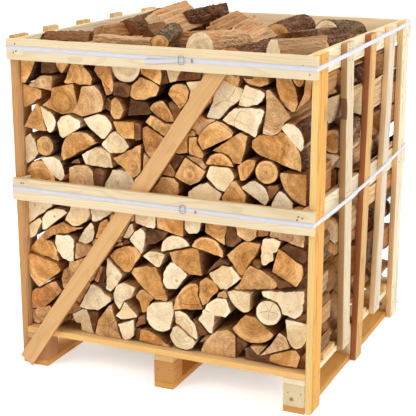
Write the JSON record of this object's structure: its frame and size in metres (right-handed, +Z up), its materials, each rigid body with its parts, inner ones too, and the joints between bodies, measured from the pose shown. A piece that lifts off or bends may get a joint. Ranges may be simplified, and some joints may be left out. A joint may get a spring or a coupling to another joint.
{
  "type": "crate of firewood",
  "caption": "Slatted softwood pallet crate filled with rows of split firewood logs, a loose heap on top, diagonal braces and plastic straps.",
  "frame": {"origin": "middle of the crate's footprint on the floor", "axes": "+Z up; +X to the right and +Y to the back, seen from the side whose log ends and brace face out"},
  "size_m": [1.103, 1.1083, 1.2588],
  "materials": {
    "deck_wood": "rough sawn, orange-yellow",
    "stringer_wood": "rough sawn, pale",
    "block_wood": "rough sawn, tan to cream",
    "post_wood": "rough sawn, light yellow",
    "slat_wood": "rough sawn, tan with pale faces",
    "dark_slat_wood": "rough sawn, red-brown",
    "rail_wood": "rough sawn, cream",
    "face_board_wood": "planed, pale cream",
    "brace_wood": "rough sawn, orange-tan",
    "log_wood": "split and sawn, pale to orange, with grey-brown bark",
    "strap_plastic": "smooth white",
    "buckle_wire": "galvanised wire"
  },
  "bodies": {
    "root": {"bottom_board_left": "deck_wood", "stringer_left": "stringer_wood", "block_front_left": "block_wood", "block_centre_left": "block_wood", "block_back_left": "block_wood", "bottom_board_middle": "deck_wood", "stringer_middle": "stringer_wood", "block_front_middle": "block_wood", "block_centre_middle": "block_wood", "block_back_middle": "block_wood", "bottom_board_right": "deck_wood", "stringer_right": "stringer_wood", "block_front_right": "block_wood", "block_centre_right": "block_wood", "block_back_right": "block_wood", "deck_board_1": "deck_wood", "deck_board_2": "deck_wood", "deck_board_3": "deck_wood", "deck_board_4": "deck_wood", "deck_board_5": "deck_wood", "deck_board_6": "deck_wood", "post_front_right": "post_wood", "post_back_right": "post_wood", "post_front_left": "post_wood", "post_back_left": "post_wood", "slat_right_1": "slat_wood", "slat_right_3": "slat_wood", "slat_left_1": "slat_wood", "slat_left_3": "slat_wood", "slat_right_2": "dark_slat_wood", "slat_left_2": "dark_slat_wood", "rail_top_left": "rail_wood", "rail_top_right": "rail_wood", "front_board_top": "face_board_wood", "back_board_top": "face_board_wood", "rail_middle_left": "rail_wood", "rail_middle_right": "rail_wood", "front_board_middle": "face_board_wood", "back_board_middle": "face_board_wood", "brace_front": "brace_wood", "brace_back": "brace_wood", "strap_top": "strap_plastic", "buckle_top": "buckle_wire", "strap_middle": "strap_plastic", "buckle_middle": "buckle_wire", "log_row_front": "log_wood", "log_row_second": "log_wood", "log_row_third": "log_wood", "log_row_back": "log_wood", "top_layer": "log_wood", "top_log_peak": "log_wood", "top_log_big_split": "log_wood", "top_log_half_end": "log_wood", "top_log_grey_bark": "log_wood", "top_log_flat": "log_wood", "top_log_red_bark": "log_wood", "top_log_long_split": "log_wood", "top_log_tan_face": "log_wood", "top_log_bark_round": "log_wood", "top_log_dark_bark": "log_wood"}
  },
  "joints": []
}
